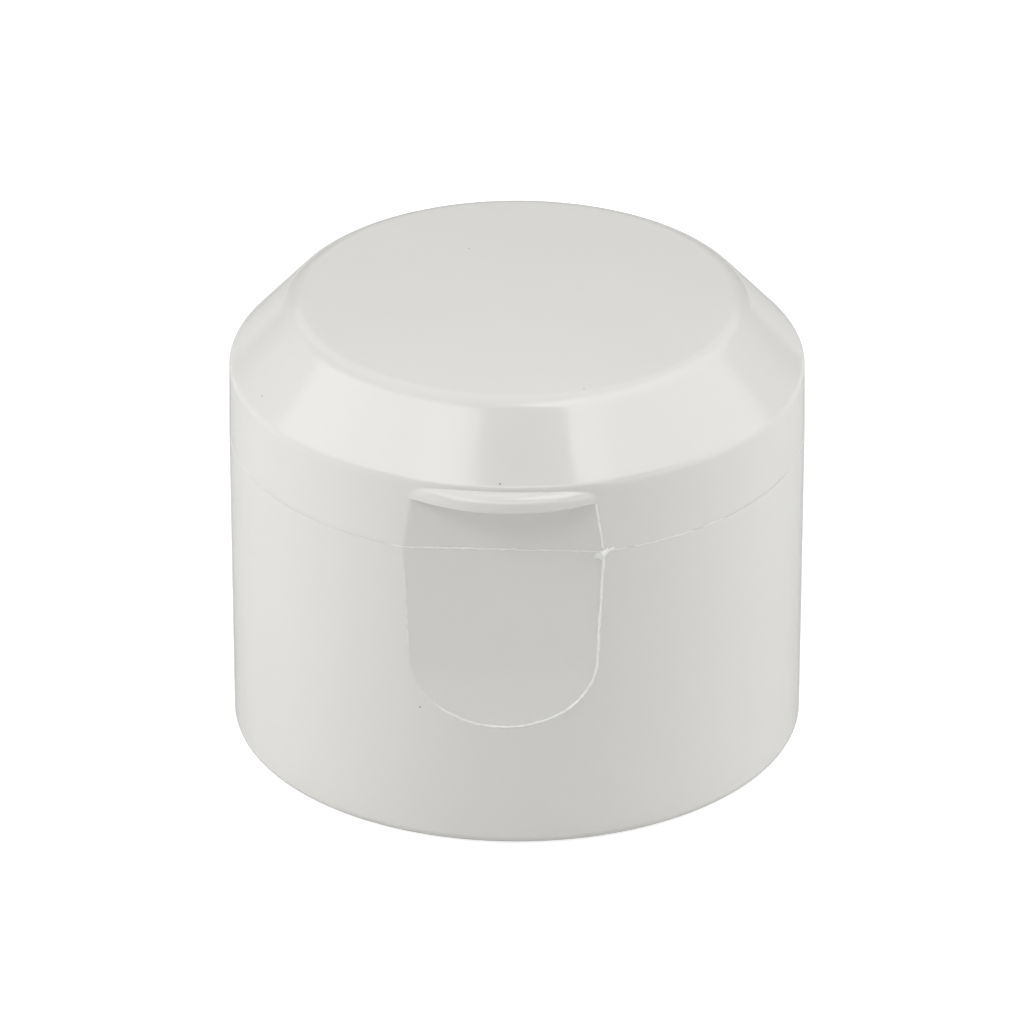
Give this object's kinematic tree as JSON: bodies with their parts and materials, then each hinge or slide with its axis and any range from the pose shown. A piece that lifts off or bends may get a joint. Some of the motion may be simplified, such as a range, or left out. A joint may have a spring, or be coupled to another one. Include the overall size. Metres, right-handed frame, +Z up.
{
  "type": "flip top cap",
  "caption": "Smooth white flip top closure for a screw-neck bottle: skirt with orifice and spout, living hinge, bevelled lid with thumb recess.",
  "frame": {"origin": "centre of the mouth, on the face that the cap stands on", "axes": "+Z up from the mouth to the lid, -Y towards the thumb recess, +Y towards the hinge"},
  "size_m": [0.028, 0.029, 0.0226],
  "materials": {
    "moulding": "white polypropylene, as moulded, glossy with a faint ripple",
    "hinge_web": "white polypropylene, thin and a little whiter where it folds"
  },
  "bodies": {
    "skirt": {"base": "moulding", "hinge_film": "hinge_web", "hinge_strap_left": "hinge_web", "hinge_strap_right": "hinge_web"},
    "cover": {"lid": "moulding"}
  },
  "joints": [
    {"name": "lid_hinge", "type": "hinge", "parent": "skirt", "child": "cover", "pos_m": [0, 0.01415, 0.01567], "axis": [-1, 0, 0], "range_deg": [0, 178], "deforming": ["hinge_film", "hinge_strap_left", "hinge_strap_right"]}
  ]
}
